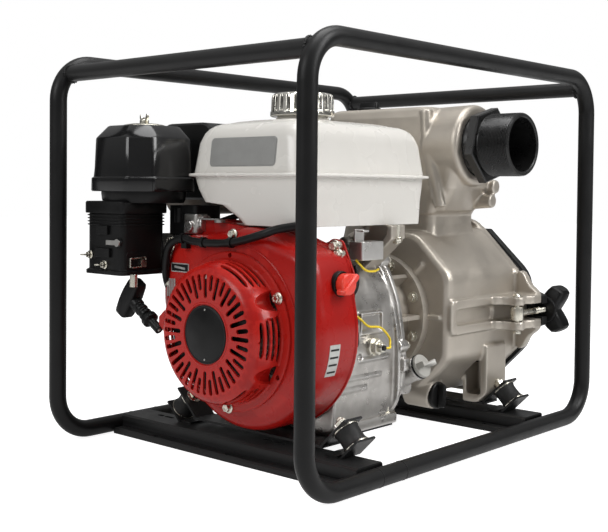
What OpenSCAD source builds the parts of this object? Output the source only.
// Petrol engine trash pump in a tubular carry frame.
// X runs across the frame, Y along the crankshaft from recoil starter to pump, Z up.
// The origin is the middle of the footprint, on the ground.

/* [Frame] */
// Outside diameter of the frame tube
tube_d = 23; // [21:0.5:24]
// Distance between the centre lines of the two side loops
loop_gap = 444; // [440:1:480]
// Length of a side loop between tube centre lines
loop_length = 638; // [636:1:680]
// Height of the top tube's centre line
loop_top = 514; // [510:1:560]
// Bend radius of the loops' corners
bend_r = 52; // [40:1:60]

/* [Engine] */
// Crank axis across the frame
crank_x = 27; // [26:0.5:28]
// Crank axis above the ground
crank_z = 168; // [167:0.5:169]
// Lean of the cylinder above the horizontal
cylinder_lean = 25; // [24:1:26]

/* [Pump] */
// Outside diameter of the 3 inch hose nipples
nipple_d = 88.9; // [86:0.1:90]
// Bore of the hose nipples
nipple_bore = 76; // [70:0.5:78]
// Radius of the impeller
impeller_r = 80; // [70:1:82]

/* [Hidden] */
$fn = 64;
tube_r = tube_d / 2;
loop_x = loop_gap / 2;
loop_y = loop_length / 2;
running_gap = 0.05;

// Base channels
channel_top = 25;
channel_wall = 2.2;
channel_y = 190;
channel_half = 25;
channel_end = 212;

// Rubber mounts, each on a 45 degree bracket
mount_r = 16;
mount_length = 26;
mount_x = 172;
mount_z = 48;
front_mount_y = -176;
rear_mount_y = 190;
plate = 3;

// Engine stations along the crankshaft
recoil_face = -282;
recoil_flange = -235;
shroud_back = -160;
case_back = -25;
cover_back = 0;
cylinder_y = -95;
cylinder_r = 38.5;
intake_y = -151.2;
flywheel_r = 94;
flywheel_front = -222;
flywheel_back = -182;
base_bottom = 36;
base_top = 53;
case_r = 104;
shaft_r = 12.7;
journal_r = 17.5;
crank_throw = 29;
pin_r = 16;
web_gap = 13;

// Recoil starter
recoil_r = 100;
reel_r = 62;
reel_front = -272;
reel_back = -256;
rope_r = 2.5;
rope_y = -264;
rope_rise = 33;
rope_reach = 104;
emblem_r = 36;
slot_count = 20;

// Fuel tank
tank_left = -74;
tank_right = 130;
tank_front = -222;
tank_back = 45;
tank_seam = 364;
tank_top = 431;
tank_bottom = 300;
tank_step = 327;
tank_wall = 2;
cap_x = 28;
cap_y = -107;
cap_r = 43;

// Air cleaner
canister_x = -143;
canister_y = -236;
canister_half = 62;
canister_bottom = 341;
canister_top = 429;
duct_x = -156;
duct_y = -256;
duct_half = 37;
duct_bottom = 231;

// Pump
pump_back = 70;
pump_front = 243;
flange_front = 256;
cover_plate_front = 272;
pump_wall = 9;
chamber_front = 92;
chamber_back = 222;
chamber_left = -100;
chamber_right = 128;
chamber_bottom = 318;
chamber_top = 467;
port_z = 411;
discharge_y = 147;
suction_x = 27;
boss_r = 56;
hex_start = 34;
hex_end = 50;
seat_r = nipple_d / 2 - 1.2;
clamp_x = 180;
clamp_pin_y = 196;
clamp_pin_r = 4;
plug_r = 14;
priming_x = -60;
priming_y = 150;
drain_y = 92;
drain_z = 54;
drain_x = 111;

black_paint = [0.09, 0.09, 0.095];
black_plastic = [0.07, 0.07, 0.075];
red_paint = [0.72, 0.07, 0.05];
raw_aluminium = [0.66, 0.65, 0.63];
cast_grey = [0.55, 0.52, 0.47];
tank_white = [0.92, 0.91, 0.88];
zinc = [0.75, 0.74, 0.7];
steel = [0.6, 0.6, 0.6];
rubber = [0.05, 0.05, 0.05];

// A rod along Y from y0 to y1
module y_rod(x, z, y0, y1, r) {
    translate([x, y0, z])
        rotate([-90, 0, 0])
            cylinder(h = y1 - y0, r = r);
}

// A rod along X from x0 to x1
module x_rod(y, z, x0, x1, r) {
    translate([x0, y, z])
        rotate([0, 90, 0])
            cylinder(h = x1 - x0, r = r);
}

// A rod along Z from z0 to z1
module z_rod(x, y, z0, z1, r) {
    translate([x, y, z0])
        cylinder(h = z1 - z0, r = r);
}

// A block between two opposite corners
module block(low, high) {
    translate(low)
        cube(high - low);
}

// An XZ outline carried along Y from y0 to y1
module xz_prism(y0, y1) {
    translate([0, y1, 0])
        rotate([90, 0, 0])
            linear_extrude(y1 - y0)
                children();
}

// A YZ outline carried along X from x0 to x1
module yz_prism(x0, x1) {
    translate([x0, 0, 0])
        rotate([90, 0, 90])
            linear_extrude(x1 - x0)
                children();
}

// Places children with their Z axis on the crank axis, pointing to the pump
module on_crank(y) {
    translate([crank_x, y, crank_z])
        rotate([-90, 0, 0])
            children();
}

// Places children with their Z axis on the cylinder axis, measured from the crank axis
module on_cylinder() {
    translate([crank_x, cylinder_y, crank_z])
        rotate([0, cylinder_lean - 90, 0])
            children();
}

// Rounded rectangle in 2D
module rounded(w, h, r) {
    square([w, h - 2 * r], center = true);
    square([w - 2 * r, h], center = true);
    for (sx = [-1, 1], sy = [-1, 1])
        translate([sx * (w / 2 - r), sy * (h / 2 - r)])
            circle(r);
}

// Square outline with equal corner chamfers, half width a and half flat f
module chamfered(a, f) {
    polygon([[a, -f], [a, f], [f, a], [-f, a], [-a, f], [-a, -f], [-f, -a], [f, -a]]);
}

// One closed side loop of tube in the YZ plane
module loop(x) {
    straight_y = loop_y - bend_r;
    low = tube_r + bend_r;
    high = loop_top - bend_r;
    corner_y = [straight_y, straight_y, -straight_y, -straight_y];
    corner_z = [low, high, high, low];
    for (i = [0:3])
        translate([x, corner_y[i], corner_z[i]])
            rotate([0, 90, 0])
                rotate([0, 0, 90 * i])
                    rotate_extrude(angle = 90)
                        translate([bend_r, 0])
                            circle(tube_r);
    for (z = [tube_r, loop_top])
        y_rod(x, z, -straight_y, straight_y, tube_r);
    for (y = [-loop_y, loop_y])
        z_rod(x, y, low, high, tube_r);
}

module side_loops() {
    color(black_paint)
        for (x = [-loop_x, loop_x])
            loop(x);
}

// A top cross tube welded into the middle of the corner bends
module cross_tube(side) {
    bend_reach = bend_r * cos(45);
    y = side * (loop_y - bend_r + bend_reach);
    z = loop_top - bend_r + bend_reach;
    color(black_paint)
        difference() {
            x_rod(y, z, -loop_x, loop_x, tube_r - 0.5);
            loop(loop_x);
            loop(-loop_x);
        }
}

module cross_tubes() {
    cross_tube(-1);
    cross_tube(1);
}

// A pressed hat section across the bottom tubes
module base_channel(side) {
    flange_z = 6;
    flange_half = 40;
    foot = 8;
    color(black_paint)
        difference() {
            translate([0, side * channel_y, 0])
                yz_prism(-channel_end, channel_end) {
                    translate([-channel_half, channel_top - channel_wall])
                        square([2 * channel_half, channel_wall]);
                    for (s = [-1, 1]) {
                        translate([s * (channel_half - channel_wall / 2), (channel_top + flange_z) / 2])
                            square([channel_wall, channel_top - flange_z], center = true);
                        translate([s * (channel_half + flange_half) / 2, flange_z + channel_wall / 2])
                            square([flange_half - channel_half + channel_wall, channel_wall], center = true);
                        translate([s * (flange_half - channel_wall / 2), (flange_z + 1) / 2])
                            square([channel_wall, flange_z + 1], center = true);
                        translate([s * (flange_half - foot / 2), channel_wall / 2])
                            square([foot, channel_wall], center = true);
                    }
                }
            for (x = [-loop_x, loop_x])
                y_rod(x, tube_r, -loop_y / 1.2, loop_y / 1.2, tube_r);
        }
}

module base_channels() {
    base_channel(-1);
    base_channel(1);
}

// Places children in a mount's own frame: Z down and outwards along the rubber, origin at its middle
module at_mount(side, x, y) {
    translate([crank_x, y, mount_z])
        mirror([side < 0 ? 1 : 0, 0, 0])
            translate([x - crank_x, 0, 0])
                rotate([0, 135, 0])
                    children();
}

// Places children at each of the four rubber mounts
module each_mount() {
    for (side = [-1, 1], y = [front_mount_y, rear_mount_y])
        at_mount(side, mount_x, y)
            children();
}

module rubber_mounts() {
    color(rubber)
        each_mount()
            translate([0, 0, -mount_length / 2])
                cylinder(h = mount_length, r = mount_r);
}

// Bent plates under the rubber, standing on the base channels
module channel_brackets() {
    color(black_paint)
        each_mount()
            difference() {
                block([-mount_r - 1, -mount_r - 2, mount_length / 2],
                    [25, mount_r + 2, mount_length / 2 + plate]);
                rotate([0, -135, 0])
                    translate([-60, -60, channel_top - mount_z - 40])
                        cube([120, 120, 40]);
            }
    color(black_paint)
        for (side = [-1, 1], y = [front_mount_y, rear_mount_y])
            translate([crank_x, 0, 0])
                mirror([side < 0 ? 1 : 0, 0, 0])
                    block([mount_x - crank_x - 25, y - 18, channel_top],
                        [mount_x - crank_x - 6.5, y + 18, channel_top + plate]);
}

// Plate under the engine or the pump, bent up at both ends to lie on the rubber mounts
module unit_bracket(y0, y1, mount_y) {
    reach = mount_x - crank_x - 30;
    half_w = 18;
    root = 34;
    block([crank_x - 98, y0, base_bottom - plate], [crank_x + 98, y1, base_bottom]);
    block([crank_x - reach, mount_y - half_w, base_bottom - plate],
        [crank_x + reach, mount_y + half_w, base_bottom]);
    for (side = [-1, 1])
        at_mount(side, mount_x, mount_y)
            block([-half_w, -half_w + 1, -mount_length / 2 - plate], [root, half_w - 1, -mount_length / 2]);
}

module unit_brackets() {
    color(black_paint) {
        unit_bracket(front_mount_y - 18, -30, front_mount_y);
        unit_bracket(rear_mount_y - 24, rear_mount_y + 18, rear_mount_y);
    }
}

// Crankcase casting: base, case, cylinder barrel with fins, and both shaft openings
module crankcase() {
    inner_r = case_r - 8;
    cavity_front = shroud_back + 20;
    fin_count = 7;
    color(raw_aluminium)
        difference() {
            union() {
                block([-74, -152, base_bottom], [128, -26, base_top]);
                intersection() {
                    on_crank(shroud_back)
                        cylinder(h = case_back - shroud_back, r = case_r);
                    block([crank_x - case_r, shroud_back, base_top - 1],
                        [crank_x + case_r, case_back, crank_z + case_r]);
                }
                block([-55, shroud_back + 12, base_top - 1], [112, case_back, crank_z - 20]);
                on_cylinder()
                    cylinder(h = 132, r = 50);
                for (i = [0:fin_count - 1])
                    on_cylinder()
                        translate([0, 0, 106 + 4.2 * i - 0.9])
                            cube([118, 112, 1.8], center = true);
            }
            on_crank(cavity_front)
                cylinder(h = case_back - cavity_front + 1, r = inner_r);
            block([-47, cavity_front, base_top + 3], [104, case_back + 1, crank_z - 30]);
            on_cylinder()
                cylinder(h = 140, r = cylinder_r);
            y_rod(crank_x, crank_z, shroud_back - 1, cavity_front + 1, 20);
            y_rod(crank_x, crank_z, shroud_back + 5, cavity_front + 1, 36);
        }
}

// Side cover that closes the crankcase on the pump side
module crankcase_cover() {
    boss_angles = [-10, 35, 80, 125, 190, 215];
    color(raw_aluminium)
        difference() {
            union() {
                intersection() {
                    on_crank(case_back)
                        cylinder(h = 16, r = case_r + 4);
                    block([crank_x - 120, case_back, base_top], [crank_x + 120, cover_back, 300]);
                }
                block([-55, case_back, base_top], [112, case_back + 16, crank_z - 20]);
                on_crank(case_back)
                    cylinder(h = cover_back - case_back, r = 82);
                for (a = boss_angles)
                    y_rod(crank_x + 107 * cos(a), crank_z + 107 * sin(a), case_back, case_back + 20, 10);
            }
            y_rod(crank_x, crank_z, case_back - 1, cover_back + 1, 20);
            y_rod(crank_x, crank_z, case_back - 1, case_back + 15, 36);
        }
}

// Finned head bolted on the barrel
module cylinder_head() {
    color(raw_aluminium)
        difference() {
            union() {
                on_cylinder()
                    translate([0, 0, 148])
                        cube([96, 96, 32], center = true);
                for (i = [0:4])
                    on_cylinder()
                        translate([0, 0, 135 + 6 * i])
                            cube([118, 112, 2], center = true);
                y_rod(-122, 262, intake_y, -142, 17);
            }
            on_cylinder()
                translate([0, 0, 131])
                    cylinder(h = 8, r = cylinder_r - 6);
            y_rod(-122, 262, intake_y - 1, -125, 10);
            on_cylinder()
                at_plug()
                    cylinder(h = 60, r = 6.1);
        }
}

module rocker_cover() {
    color(raw_aluminium)
        on_cylinder()
            translate([0, 0, 164]) {
                linear_extrude(4)
                    rounded(92, 92, 14);
                translate([0, 0, 4])
                    linear_extrude(24)
                        rounded(80, 80, 14);
            }
}

// Places children on the spark plug's line, in the frame of the cylinder
module at_plug() {
    translate([-20, 0, 146])
        rotate([0, -75, 0])
            children();
}

// Spark plug screwed into the head
module spark_plug() {
    color([0.9, 0.9, 0.88])
        on_cylinder()
            at_plug() {
                translate([0, 0, 10])
                    cylinder(h = 51, r = 6);
                translate([0, 0, 60.2])
                    cylinder(h = 12, r = 10.4, $fn = 6);
                translate([0, 0, 72])
                    cylinder(h = 26, r = 9);
            }
}

// A sealed ball bearing at each end of the crankcase
module crank_bearings() {
    color(steel)
        for (y = [shroud_back + 5, case_back])
            difference() {
                y_rod(crank_x, crank_z, y, y + 15, 36);
                y_rod(crank_x, crank_z, y - 1, y + 16, journal_r + running_gap);
            }
}

// Crankshaft with one throw, standing at top dead centre
module crankshaft() {
    web = 16;
    front_web = cylinder_y - web_gap - web;
    color(steel) {
        y_rod(crank_x, crank_z, recoil_flange - 6, shroud_back + 4, shaft_r);
        y_rod(crank_x, crank_z, shroud_back + 4, front_web + 1, journal_r);
        y_rod(crank_x, crank_z, cylinder_y + web_gap, cover_back - 8, journal_r);
        y_rod(crank_x, crank_z, cover_back - 9, pump_back + 46, shaft_r);
        for (y = [front_web, cylinder_y + web_gap])
            translate([0, y, 0])
                on_cylinder_at_crank()
                    web_plate(web);
        translate([0, front_web + 1, 0])
            on_cylinder_at_crank()
                translate([0, crank_throw, 0])
                    cylinder(h = 2 * web_gap + 2 * web - 2, r = pin_r);
    }
}

// Places children with Z along the crank axis and Y along the cylinder axis
module on_cylinder_at_crank() {
    translate([crank_x, 0, crank_z])
        rotate([-90, 0, 0])
            rotate([0, 0, 90 + cylinder_lean])
                children();
}

// One counterweighted web of the crankshaft
module web_plate(h) {
    linear_extrude(h)
        union() {
            circle(24);
            translate([0, crank_throw])
                circle(22);
            translate([-22, 0])
                square([44, crank_throw]);
            difference() {
                circle(60);
                translate([-70, -12])
                    square([140, 90]);
            }
        }
}

// Flywheel with fan blades on its front face
module flywheel() {
    blade_count = 16;
    rim = 6;
    color(raw_aluminium)
        difference() {
            union() {
                y_rod(crank_x, crank_z, flywheel_back - 10, flywheel_back, 60);
                y_rod(crank_x, crank_z, flywheel_back - 14, flywheel_back - 8, flywheel_r);
                y_rod(crank_x, crank_z, flywheel_front, flywheel_back, 30);
                for (i = [0:blade_count - 1])
                    translate([crank_x, 0, crank_z])
                        rotate([0, 360 / blade_count * i, 0])
                            block([48, flywheel_front + 4, -1.5], [flywheel_r - rim, flywheel_back - 9, 1.5]);
            }
            y_rod(crank_x, crank_z, flywheel_front - 1, flywheel_back + 1, shaft_r);
        }
}

// Cup between flywheel and reel that the pawls catch, with its nut
module starter_cup() {
    color(black_plastic)
        difference() {
            y_rod(crank_x, crank_z, flywheel_front - 14, flywheel_front, 38);
            y_rod(crank_x, crank_z, flywheel_front - 15, flywheel_front - 3, 34);
            y_rod(crank_x, crank_z, flywheel_front - 4, flywheel_front + 1, shaft_r);
        }
}

// Piston at top dead centre, with its pin
module piston() {
    color(raw_aluminium)
        on_cylinder()
            difference() {
                translate([0, 0, 76])
                    cylinder(h = 54, r = cylinder_r - running_gap);
                translate([0, 0, 75])
                    cylinder(h = 44, r = 32);
            }
    color(steel)
        on_cylinder()
            translate([0, -32.5, 98])
                rotate([-90, 0, 0])
                    cylinder(h = 65, r = 9);
}

// Connecting rod, its big end opened clear of the crank pin's path
module connecting_rod() {
    clear_r = crank_throw + pin_r + 0.5;
    color(raw_aluminium)
        difference() {
            on_cylinder() {
                translate([0, -10, 98])
                    rotate([-90, 0, 0])
                        cylinder(h = 20, r = 14);
                translate([-9, -6, 46])
                    cube([18, 12, 46]);
                translate([-22, -10, 36])
                    cube([44, 20, 14]);
            }
            on_cylinder()
                translate([0, -33, 98])
                    rotate([-90, 0, 0])
                        cylinder(h = 66, r = 9 + running_gap);
            y_rod(crank_x, crank_z, cylinder_y - 12, cylinder_y + 12, clear_r);
        }
}

// Outline of the fan shroud, shrunk about its middle
module shroud_outline(share) {
    middle = [32, 205];
    translate(middle)
        scale(share)
            translate(-middle) {
                translate([40, 171])
                    circle(127);
                polygon([[-112, 182], [-112, 234], [-88, 282], [58, 296], [150, 268], [160, 226], [150, 120],
                    [-30, 110]]);
            }
}

// Red fan shroud between recoil starter and crankcase
module fan_shroud() {
    wall = 2.5;
    color(red_paint)
        difference() {
            xz_prism(recoil_flange, shroud_back)
                shroud_outline(1);
            xz_prism(recoil_flange + wall, shroud_back + 1)
                shroud_outline(0.98);
            y_rod(crank_x, crank_z, recoil_flange - 1, recoil_flange + wall + 1, 86);
        }
}

// One slot of the starter's grille
module grille_slot(r0, r1, w) {
    translate([r0, -w / 2])
        square([r1 - r0, w]);
    for (r = [r0, r1])
        translate([r, 0])
            circle(w / 2);
}

// Red starter cover: flange, barrel and slotted face
module recoil_cover() {
    wall = 2.5;
    depth = recoil_flange - recoil_face;
    color(red_paint)
        difference() {
            union() {
                on_crank(recoil_flange)
                    rotate([180, 0, 0])
                        rotate_extrude()
                            polygon([[88, 0], [recoil_r, 0], [recoil_r, 5], [90, 5], [87, depth - 14],
                                [83, depth - 5], [76, depth], [0, depth], [0, depth - wall],
                                [75, depth - wall], [80.5, depth - 6.5], [84.3, depth - 14.5]]);
                y_rod(crank_x, crank_z, recoil_face + 1, reel_back - 1, 8);
                rope_spout();
            }
            xz_prism(recoil_face - 1, recoil_face + wall + 1)
                translate([crank_x, crank_z])
                    for (i = [0:slot_count - 1])
                        rotate(360 / slot_count * i) {
                            grille_slot(48, 71, 5);
                            rotate(180 / slot_count)
                                grille_slot(57, 71, 5);
                        }
            at_rope()
                translate([0, 0, 20])
                    cylinder(h = rope_reach, r = 6);
        }
}

// Places children on the rope's line: Z out along the rope from where it leaves the reel
module at_rope() {
    translate([crank_x, rope_y, crank_z])
        rotate([0, -(90 - rope_rise), 0])
            translate([-reel_r, 0, 0])
                children();
}

// Pointed snout on the starter cover where the rope comes out
module rope_spout() {
    at_rope()
        translate([0, 0, 62])
            cylinder(h = rope_reach - 62, r = 10);
}

module rope_guide() {
    color(black_plastic)
        at_rope()
            difference() {
                union() {
                    translate([0, 0, rope_reach - 18])
                        cylinder(h = 18, r = 6);
                    translate([0, 0, rope_reach])
                        cylinder(h = 9, r = 11);
                }
                translate([0, 0, rope_reach - 19])
                    cylinder(h = 30, r = rope_r + 0.5);
            }
}

// Reel with its rope groove, turning on the starter cover's post
module recoil_reel() {
    color(black_plastic)
        difference() {
            union() {
                y_rod(crank_x, crank_z, reel_front, reel_back, reel_r - rope_r - 0.5);
                for (y = [reel_front, reel_back - 2])
                    y_rod(crank_x, crank_z, y, y + 2, reel_r + 6);
            }
            y_rod(crank_x, crank_z, reel_front - 1, reel_back + 1, 8 + running_gap);
        }
}

// T shaped grip seated on the rope guide
module starter_grip() {
    seat = rope_reach + 9.2;
    color(black_plastic)
        at_rope()
            difference() {
                union() {
                    translate([0, 0, seat])
                        cylinder(h = 30, r1 = 7, r2 = 9);
                    translate([0, 0, seat + 40])
                        rotate([0, 0, 90])
                            cube([30, 54, 22], center = true);
                }
                translate([0, 0, seat - 1])
                    cylinder(h = 20, r = rope_r);
            }
}

// The end of the rope that is in sight, from the reel to the grip
module starter_rope() {
    color([0.85, 0.85, 0.8])
        at_rope()
            translate([0, 0, 2])
                cylinder(h = rope_reach + 9.2 + 17, r = rope_r - 0.02);
}

module recoil_emblem() {
    color(black_plastic)
        y_rod(crank_x, crank_z, recoil_face - 1.2, recoil_face, emblem_r);
}

// Three flange bolts that hold the starter on the shroud
module recoil_bolts() {
    color(zinc)
        for (a = [30, 150, 270])
            translate([crank_x + 95.2 * cos(a), 0, crank_z + 95.2 * sin(a)]) {
                y_rod(0, 0, recoil_flange - 7, recoil_flange - 5, 5);
                translate([0, recoil_flange - 11, 0])
                    rotate([-90, 0, 0])
                        cylinder(h = 5, r = 4.6, $fn = 6);
            }
}

// Rotary engine switch on the shroud's right side
module engine_switch() {
    color(red_paint) {
        x_rod(-184, 233, 161, 174, 13);
        block([174, -187, 220], [178, -181, 246]);
    }
}

module oil_alert_unit() {
    color([0.6, 0.6, 0.58])
        block([112, -112, 256], [136, -66, 280]);
}

module oil_sensor() {
    color(zinc)
        difference() {
            union() {
                x_rod(-78, 143, 122, 136, 11);
                x_rod(-78, 143, 136, 146, 7);
            }
            y_rod(crank_x, crank_z, -100, -50, case_r);
        }
}

// Tube cast to the side of the case for filling oil
module oil_filler() {
    color(raw_aluminium)
        difference() {
            translate([118, 6, 96])
                rotate([0, 64, 0])
                    cylinder(h = 26, r = 15);
            translate([118, 6, 96])
                rotate([0, 64, 0])
                    translate([0, 0, 8])
                        cylinder(h = 20, r = 10.1);
        }
}

// Plug with a T grip and a dipstick
module oil_plug() {
    color([0.72, 0.72, 0.7])
        translate([118, 6, 96])
            rotate([0, 64, 0]) {
                translate([0, 0, 10])
                    cylinder(h = 16, r = 10);
                translate([0, 0, 26.2])
                    cylinder(h = 6, r = 16);
                translate([0, 0, 26])
                    cylinder(h = 1, r = 8);
                translate([-3, -15, 32])
                    cube([6, 30, 13]);
            }
}

// Carburettor between head and air duct
module carburetor() {
    color(raw_aluminium) {
        block([-142, -205, 246], [-118, -168, 284]);
        y_rod(-130, 262, -219, -205, 14);
        y_rod(-122, 262, -168, intake_y, 15);
        z_rod(-130, -188, 226, 246, 17);
    }
}

// A flat lever turning on a post along Y
module y_lever(x, y, z, reach, angle) {
    translate([x, y, z])
        rotate([0, -angle, 0])
            block([0, -2, -3], [reach, 0, 3]);
    y_rod(x, z, y - 2, y, 5);
}

module choke_lever() {
    color(steel)
        y_lever(-124, -296, 274, 22, 180);
}

// Flat lever on the duct's right side, turning on a post along X
module fuel_valve_lever() {
    pivot_x = duct_x + duct_half + 1;
    color(steel) {
        block([pivot_x, -280, 244], [pivot_x + 2, -259, 250]);
        x_rod(-259, 247, pivot_x - 1, pivot_x + 2, 5);
    }
}

// Hand throttle, turning on a post along Z under the tank
module throttle_lever() {
    color(steel) {
        z_rod(-20, -212, 302, 305.5, 7);
        block([-62, -215, 305], [-18, -209, 307]);
    }
}

// Rod from the governor arm to the carburettor
module governor_rod() {
    color(steel)
        x_rod(-190, 300, -108, 5, 1.6);
}

// Duct and cold start valve housing under the air cleaner
module air_duct() {
    color(black_plastic)
        difference() {
            union() {
                block([duct_x - duct_half, duct_y - duct_half, duct_bottom + 6],
                    [duct_x + duct_half, duct_y + duct_half, 312]);
                block([duct_x - duct_half - 3, duct_y - duct_half - 3, duct_bottom],
                    [duct_x + duct_half + 3, duct_y + duct_half, duct_bottom + 6]);
                block([duct_x - duct_half - 4, duct_y - duct_half - 3, 312],
                    [duct_x + duct_half + 4, duct_y + duct_half + 2, 328]);
                translate([canister_x, canister_y, 328])
                    cylinder(h = canister_bottom - 328, r = canister_half - 4);
            }
            block([duct_x - duct_half + 3, duct_y - duct_half + 3, duct_bottom + 10],
                [duct_x + duct_half - 3, duct_y + duct_half - 3, 318]);
            z_rod(canister_x, canister_y, 317, canister_bottom + 1, 24);
        }
}

// Ring of pleated paper round the stud
module air_filter() {
    color([0.85, 0.78, 0.5])
        difference() {
            z_rod(canister_x, canister_y, canister_bottom, canister_top - 20, 48);
            z_rod(canister_x, canister_y, canister_bottom - 1, canister_top - 19, 28);
        }
}

// Faceted canister over the filter
module air_cleaner_cover() {
    flat = 34;
    chamfer_z = canister_top - 17;
    wall = 2.5;
    color(black_plastic)
        difference() {
            union() {
                translate([canister_x, canister_y, canister_bottom])
                    linear_extrude(18)
                        chamfered(canister_half, flat + 2);
                translate([canister_x, canister_y, canister_bottom + 17])
                    linear_extrude(chamfer_z - canister_bottom - 17)
                        chamfered(canister_half - 4, flat);
                translate([canister_x, canister_y, chamfer_z])
                    cylinder(h = canister_top - chamfer_z, r1 = 58, r2 = 44);
            }
            translate([canister_x, canister_y, canister_bottom - 1])
                linear_extrude(chamfer_z - canister_bottom)
                    chamfered(canister_half - 4 - wall, flat - 1);
            z_rod(canister_x, canister_y, chamfer_z - 2, canister_top - wall, 40);
            z_rod(canister_x, canister_y, canister_top - 5, canister_top + 1, 3 + running_gap);
        }
}

module air_cleaner_stud() {
    color(steel)
        z_rod(canister_x, canister_y, canister_bottom, canister_top + 12, 3);
    color(steel)
        translate([canister_x, canister_y, canister_bottom - 3])
            difference() {
                cylinder(h = 6, r = 23.9);
                translate([0, 0, -1])
                    for (a = [0:60:300])
                        rotate([0, 0, a])
                            translate([14, 0, 0])
                                cylinder(h = 8, r = 5);
            }
}

// Wing nut with its dished washer
module wing_nut() {
    color(zinc)
        difference() {
            union() {
                z_rod(canister_x, canister_y, canister_top + 0.1, canister_top + 2.5, 26);
                z_rod(canister_x, canister_y, canister_top + 2, canister_top + 9, 6);
                for (s = [-1, 1])
                    translate([canister_x + s * 10, canister_y, canister_top + 10])
                        cube([12, 3, 10], center = true);
            }
            z_rod(canister_x, canister_y, canister_top - 1, canister_top + 16, 3 + running_gap);
        }
}

// Muffler box behind the air cleaner, with the pipe down to the head
module muffler() {
    color([0.3, 0.29, 0.28]) {
        xz_prism(-158, -34)
            translate([-140, 368])
                rounded(96, 116, 22);
        z_rod(-112, -64, 292, 318, 15);
    }
}

// Sheet guard over the muffler
module muffler_guard() {
    color(black_paint)
        difference() {
            xz_prism(-164, -28)
                translate([-140, 370])
                    rounded(112, 134, 26);
            xz_prism(-161, -31)
                translate([-140, 370])
                    rounded(107, 129, 24);
            block([-200, -170, 300], [-80, -20, 330]);
        }
}

// Side outline of the tank, drawn in by an inset: domed top, seam, stepped bottom
module tank_outline(i) {
    polygon([[tank_left + i, tank_seam], [tank_left + 8 + i, tank_top - 14], [tank_left + 24, tank_top - i],
        [cap_x, tank_top + 6 - i], [tank_right - 24, tank_top - i], [tank_right - 8 - i, tank_top - 14],
        [tank_right - i, tank_seam], [tank_right - 6 - i, tank_bottom + i], [14, tank_bottom + i],
        [-22, tank_step + i], [-56 + i, tank_step + i]]);
}

// Front to back outline of the tank
module tank_section(i) {
    polygon([[tank_front + i, tank_seam], [tank_front + 6 + i, tank_top - 14],
        [tank_front + 20, tank_top + 7 - i], [tank_back - 20, tank_top + 7 - i],
        [tank_back - 6 - i, tank_top - 14], [tank_back - i, tank_seam],
        [tank_back - 6 - i, tank_bottom - 1 + i], [tank_front + 6 + i, tank_bottom - 1 + i]]);
}

module tank_solid(i) {
    intersection() {
        xz_prism(tank_front, tank_back)
            tank_outline(i);
        yz_prism(tank_left, tank_right)
            tank_section(i);
    }
}

// Two pressed halves with a seam flange, and the filler neck
module fuel_tank() {
    color(tank_white)
        difference() {
            union() {
                tank_solid(0);
                block([tank_left - 9, tank_front - 6, tank_seam - 2],
                    [tank_right + 7, tank_back + 7, tank_seam + 1.5]);
                z_rod(cap_x, cap_y, tank_top, tank_top + 14, 32);
            }
            tank_solid(tank_wall);
            z_rod(cap_x, cap_y, tank_top - 12, tank_top + 15, 28);
        }
}

// Cast arms that carry the tank
module tank_brackets() {
    color(cast_grey)
        difference() {
            union() {
                xz_prism(-52, -28)
                    polygon([[60, 250], [84, 250], [118, tank_bottom], [90, tank_bottom]]);
                xz_prism(-36, -27)
                    polygon([[-50, 236], [-20, 236], [-30, tank_step], [-52, tank_step]]);
            }
            y_rod(crank_x, crank_z, -60, -20, case_r);
        }
}

// Chromed cap with a fluted rim
module fuel_cap() {
    flutes = 24;
    low = tank_top + 11;
    color(zinc)
        difference() {
            z_rod(cap_x, cap_y, low, low + 31, cap_r);
            z_rod(cap_x, cap_y, low - 1, low + 27, 38);
            for (i = [0:flutes - 1])
                translate([cap_x, cap_y, low + 8])
                    rotate([0, 0, 360 / flutes * i])
                        translate([cap_r + 1, 0, 0])
                            cylinder(h = 30, r = 3);
        }
}

// Bell housing between engine and pump
module pump_adapter() {
    color(cast_grey)
        difference() {
            union() {
                y_rod(crank_x, crank_z, cover_back, cover_back + 12, 80);
                y_rod(crank_x, crank_z, cover_back, pump_back - running_gap, 62);
                y_rod(crank_x, crank_z, pump_back - 14, pump_back - running_gap, 86);
                for (a = [0:45:315])
                    translate([crank_x, 0, crank_z])
                        rotate([0, a, 0])
                            block([60, cover_back + 8, -3], [80, pump_back - 1, 3]);
            }
            y_rod(crank_x, crank_z, cover_back - 1, pump_back + 1, 40);
        }
}

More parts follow.
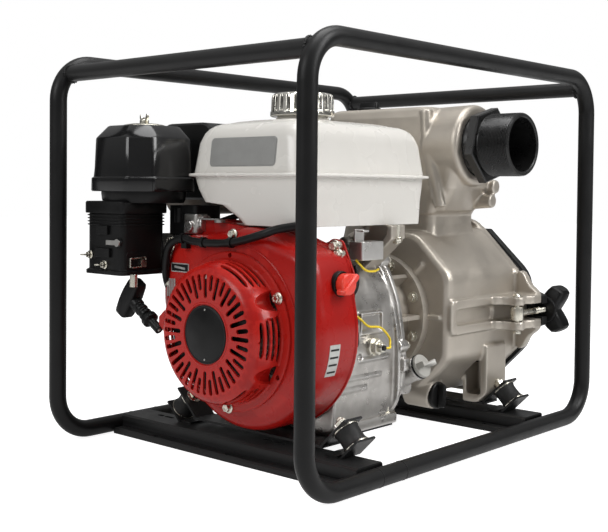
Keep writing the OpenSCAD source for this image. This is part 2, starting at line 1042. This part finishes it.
// Chamfered body, upper chamber, necks, ears and foot of the pump, open to the front
module pump_casing() {
    back_a = 118;
    flange_a = 135;
    color(cast_grey)
        difference() {
            union() {
                translate([crank_x, 0, crank_z])
                    xz_prism(pump_back, pump_front)
                        chamfered(back_a, 60);
                translate([crank_x, 0, crank_z])
                    xz_prism(pump_front, flange_front)
                        chamfered(flange_a, 42);
                block([-72, 104, crank_z + 100], [100, 214, chamber_bottom + 1]);
                chamber_shell(0);
                x_rod(discharge_y, port_z, chamber_right - 30, 142, boss_r);
                y_rod(suction_x, port_z - 8, chamber_back - 20, 246, boss_r);
                for (s = [-1, 1])
                    clamp_ears(s);
                x_rod(drain_y, drain_z, drain_x - 36, drain_x, plug_r + 7);
                for (s = [-1, 1])
                    pump_foot(s);
            }
            translate([crank_x, 0, crank_z])
                xz_prism(pump_back + pump_wall, flange_front + 1)
                    chamfered(back_a - pump_wall, 54);
            chamber_shell(pump_wall);
            block([-40, 116, crank_z + 90], [70, 200, chamber_bottom + 12]);
            y_rod(crank_x, crank_z, pump_back - 1, pump_back + pump_wall + 1, 34);
            x_rod(discharge_y, port_z, chamber_right - 31, 143, seat_r + 0.02);
            y_rod(suction_x, port_z - 8, chamber_back - 21, 247, seat_r + 0.02);
            z_rod(priming_x, priming_y, chamber_top - 12, chamber_top + 1, plug_r);
            x_rod(drain_y, drain_z, drain_x - 28, drain_x + 1, plug_r);
            for (x = [clamp_x, 2 * crank_x - clamp_x])
                z_rod(x, clamp_pin_y, crank_z - 25, crank_z + 25, clamp_pin_r + running_gap);
        }
}

// The upper chamber's solid, drawn in by an inset
module chamber_shell(i) {
    xz_prism(chamber_front + i, chamber_back - i)
        polygon([[chamber_left + i, chamber_bottom + 30], [chamber_left + i, chamber_top - 20],
            [chamber_left + 20, chamber_top - i], [chamber_right - 10, chamber_top - i],
            [chamber_right - i, chamber_top - 12], [chamber_right - i, chamber_bottom + 30],
            [chamber_right - 40, chamber_bottom + i], [chamber_left + 40, chamber_bottom + i]]);
}

// A foot at the pump's lower corner, its outer side cut back clear of the 45 degree bracket
module pump_foot(side) {
    outer = 125;
    top = 118;
    clear = 101 - crank_x;
    translate([crank_x, 0, 0])
        mirror([side < 0 ? 1 : 0, 0, 0])
            xz_prism(160, 214)
                polygon([[81, top], [81, base_bottom], [base_bottom + clear, base_bottom],
                    [outer, outer - clear], [outer, top]]);
}

// Two ribs that end in the forked ear of a cover clamp
module clamp_ears(side) {
    translate([crank_x, 0, 0])
        mirror([side < 0 ? 1 : 0, 0, 0])
            for (z = [crank_z - 24, crank_z + 12]) {
                block([110, 84, z], [124, 180, z + 12]);
                block([110, 180, z], [clamp_x - crank_x + 8, flange_front, z + 12]);
            }
}

// Closed impeller with three vanes on the engine's shaft
module impeller() {
    y0 = pump_back + pump_wall + 22;
    color([0.35, 0.34, 0.33])
        difference() {
            union() {
                y_rod(crank_x, crank_z, y0, y0 + 6, impeller_r);
                y_rod(crank_x, crank_z, y0, y0 + 20, 22);
                for (a = [0:120:240])
                    translate([crank_x, 0, crank_z])
                        rotate([0, a, 0])
                            translate([-36, 0, 0])
                                vane(y0 + 5, y0 + 30);
            }
            y_rod(crank_x, crank_z, y0 - 1, y0 + 16, shaft_r);
        }
}

// One curved impeller vane
module vane(y0, y1) {
    difference() {
        y_rod(0, 0, y0, y1, 44);
        y_rod(0, 0, y0 - 1, y1 + 1, 38);
        block([-60, y0 - 1, -60], [60, y1 + 1, 4]);
    }
}

// Mechanical seal round the shaft, in the casing's back wall
module shaft_seal() {
    color(steel)
        difference() {
            y_rod(crank_x, crank_z, pump_back - 6, pump_back + pump_wall + 14, 34);
            y_rod(crank_x, crank_z, pump_back - 7, pump_back + pump_wall + 15, shaft_r + running_gap);
        }
}

// Cast iron volute round the impeller
module volute() {
    y0 = pump_back + pump_wall;
    y1 = y0 + 64;
    color([0.3, 0.3, 0.3])
        difference() {
            union() {
                y_rod(crank_x, crank_z, y0, y1, impeller_r + 14);
                y_rod(crank_x, crank_z, y1 - 1, flange_front, 48);
            }
            y_rod(crank_x, crank_z, y0 - 1, y1 - 6, impeller_r + 6);
            y_rod(crank_x, crank_z, y1 - 8, flange_front + 1, 38);
            block([crank_x - 20, y0 + 20, crank_z + 60], [crank_x + 20, y1 - 10, crank_z + 120]);
            block([crank_x - 30, flange_front - 46, crank_z + 20],
                [crank_x + 30, flange_front - 16, crank_z + 60]);
        }
}

// A threaded nipple with a hexagon next to its seat, along +Z from its inner end
module nipple(reach) {
    difference() {
        union() {
            translate([0, 0, hex_end - 1])
                cylinder(h = reach - hex_end + 1, r = nipple_d / 2);
            cylinder(h = hex_end, r = seat_r);
            translate([0, 0, hex_start])
                cylinder(h = hex_end - hex_start, r = 56, $fn = 6);
        }
        translate([0, 0, -1])
            cylinder(h = reach + 2, r = nipple_bore / 2);
    }
}

module discharge_nipple() {
    color(black_plastic)
        translate([142.1 - hex_start, discharge_y, port_z])
            rotate([0, 90, 0])
                nipple(106);
}

module suction_nipple() {
    color(black_plastic)
        translate([suction_x, 246.1 - hex_start, port_z - 8])
            rotate([-90, 0, 0])
                nipple(102);
}

// Rubber check flap that hangs inside the suction port
module check_flap() {
    flap_y = chamber_back - pump_wall - 8;
    color(rubber) {
        y_rod(suction_x, port_z - 8, flap_y, flap_y + 5, 41);
        block([suction_x - 20, flap_y, port_z + 20], [suction_x + 20, flap_y + 5, port_z + 38]);
        x_rod(flap_y + 2.5, port_z + 38, suction_x - 20, suction_x + 20, 3.5);
    }
}

// Plate that closes the pump for cleaning, with its seal
module front_cover() {
    color(black_paint)
        difference() {
            union() {
                translate([crank_x, 0, crank_z])
                    xz_prism(flange_front, cover_plate_front)
                        chamfered(134, 42);
                for (s = [-1, 1])
                    translate([crank_x, 0, 0])
                        mirror([s < 0 ? 1 : 0, 0, 0])
                            block([120, flange_front, crank_z - 24],
                                [clamp_x - crank_x + 8, cover_plate_front, crank_z + 24]);
                y_rod(crank_x, crank_z, cover_plate_front - 1, cover_plate_front + 14, 84);
            }
            for (s = [-1, 1])
                translate([crank_x, 0, 0])
                    mirror([s < 0 ? 1 : 0, 0, 0])
                        block([clamp_x - crank_x - 7, flange_front - 1, crank_z - 9],
                            [clamp_x - crank_x + 9, cover_plate_front + 1, crank_z + 9]);
        }
}

// Places children at a cover clamp on the given side
module at_clamp(side) {
    translate([crank_x, 0, crank_z])
        mirror([side < 0 ? 1 : 0, 0, 0])
            translate([clamp_x - crank_x, 0, 0])
                children();
}

// Eye bolts that swing on pins between the ears
module eye_bolt(side) {
    color(zinc)
        at_clamp(side) {
            z_rod(0, clamp_pin_y, -10, 10, 9);
            z_rod(0, clamp_pin_y, -28, 28, clamp_pin_r);
            y_rod(0, 0, clamp_pin_y, 306, 5);
        }
}

// Lobed hand knob on an eye bolt
module knob(side) {
    color(black_plastic)
        at_clamp(side)
            difference() {
                union() {
                    y_rod(0, 0, cover_plate_front + 0.4, cover_plate_front + 12, 20);
                    for (a = [0:90:270])
                        rotate([0, a, 0])
                            block([0, cover_plate_front + 6, -7], [30, cover_plate_front + 30, 7]);
                }
                y_rod(0, 0, cover_plate_front, 312, 5 + running_gap);
            }
}

module eye_bolt_right() {
    eye_bolt(1);
}

module eye_bolt_left() {
    eye_bolt(-1);
}

module knob_right() {
    knob(1);
}

module knob_left() {
    knob(-1);
}

// Screw plug along +Z with a hand bar
module hand_plug() {
    translate([0, 0, -10])
        cylinder(h = 10.5, r = plug_r - running_gap);
    translate([0, 0, 0.2])
        cylinder(h = 6, r = plug_r + 5);
    translate([-plug_r - 2, -4, 6])
        cube([2 * plug_r + 4, 8, 9]);
}

module priming_plug() {
    color(black_plastic)
        translate([priming_x, priming_y, chamber_top])
            hand_plug();
}

module drain_plug() {
    color(black_plastic)
        translate([drain_x, drain_y, drain_z])
            rotate([0, 90, 0])
                hand_plug();
}

side_loops();
cross_tubes();
base_channels();
channel_brackets();
unit_brackets();
rubber_mounts();
crankcase();
crankcase_cover();
cylinder_head();
rocker_cover();
spark_plug();
crank_bearings();
crankshaft();
flywheel();
starter_cup();
piston();
connecting_rod();
fan_shroud();
recoil_cover();
recoil_emblem();
recoil_bolts();
recoil_reel();
rope_guide();
starter_grip();
starter_rope();
engine_switch();
oil_alert_unit();
oil_sensor();
oil_filler();
oil_plug();
carburetor();
choke_lever();
fuel_valve_lever();
throttle_lever();
governor_rod();
air_duct();
air_filter();
air_cleaner_cover();
air_cleaner_stud();
wing_nut();
muffler();
muffler_guard();
fuel_tank();
tank_brackets();
fuel_cap();
pump_adapter();
pump_casing();
impeller();
shaft_seal();
volute();
discharge_nipple();
suction_nipple();
check_flap();
front_cover();
eye_bolt_right();
eye_bolt_left();
knob_right();
knob_left();
priming_plug();
drain_plug();
